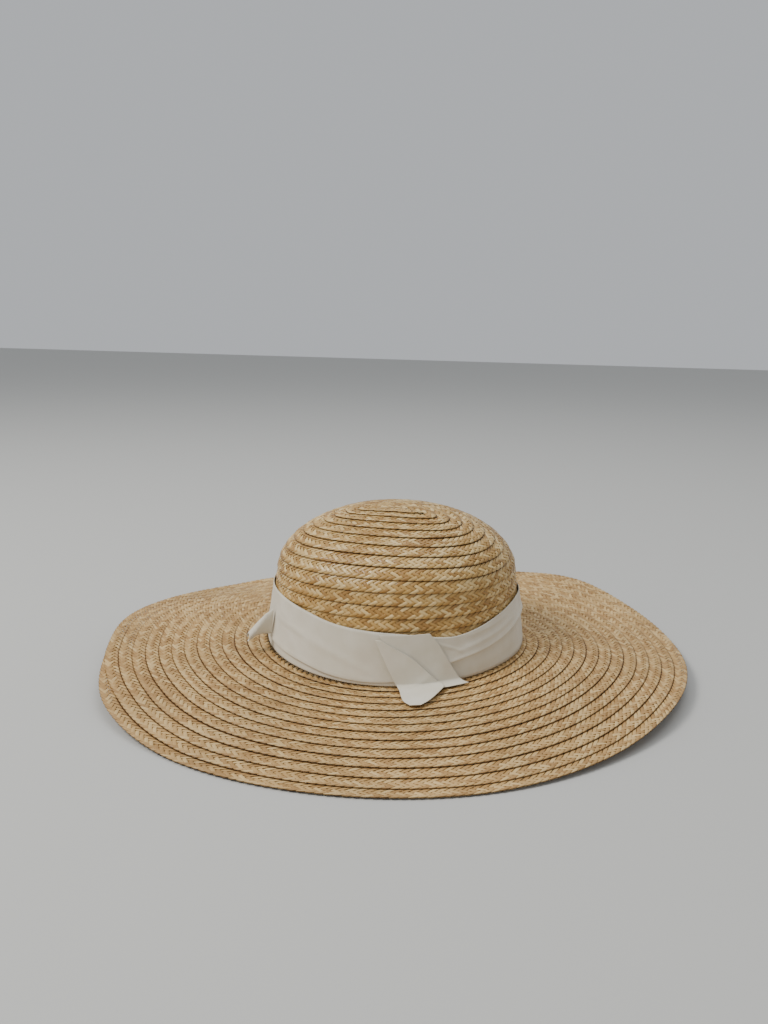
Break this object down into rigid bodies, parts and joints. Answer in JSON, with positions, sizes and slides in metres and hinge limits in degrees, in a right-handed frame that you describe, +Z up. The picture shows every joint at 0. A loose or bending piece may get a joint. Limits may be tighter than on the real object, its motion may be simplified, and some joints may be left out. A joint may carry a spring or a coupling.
{
  "type": "straw hat",
  "caption": "Wide-brimmed straw hat sewn from a spiral of plaited straw, with a round crown, a gently waved brim and a folded cotton band.",
  "frame": {"origin": "middle of the hat's plan, on the surface that the brim lies on", "axes": "+Z up out of the crown, +X along the long axis of the head oval, -Y towards the front, where the band is folded"},
  "size_m": [0.4386, 0.4406, 0.1177],
  "materials": {
    "straw": "natural straw plait with a soft sheen",
    "cotton": "unbleached matte cotton"
  },
  "bodies": {
    "root": {"crown": "straw", "brim": "straw", "hat_band": "cotton", "band_flap": "cotton", "band_tail": "cotton", "side_tail": "cotton"}
  },
  "joints": []
}
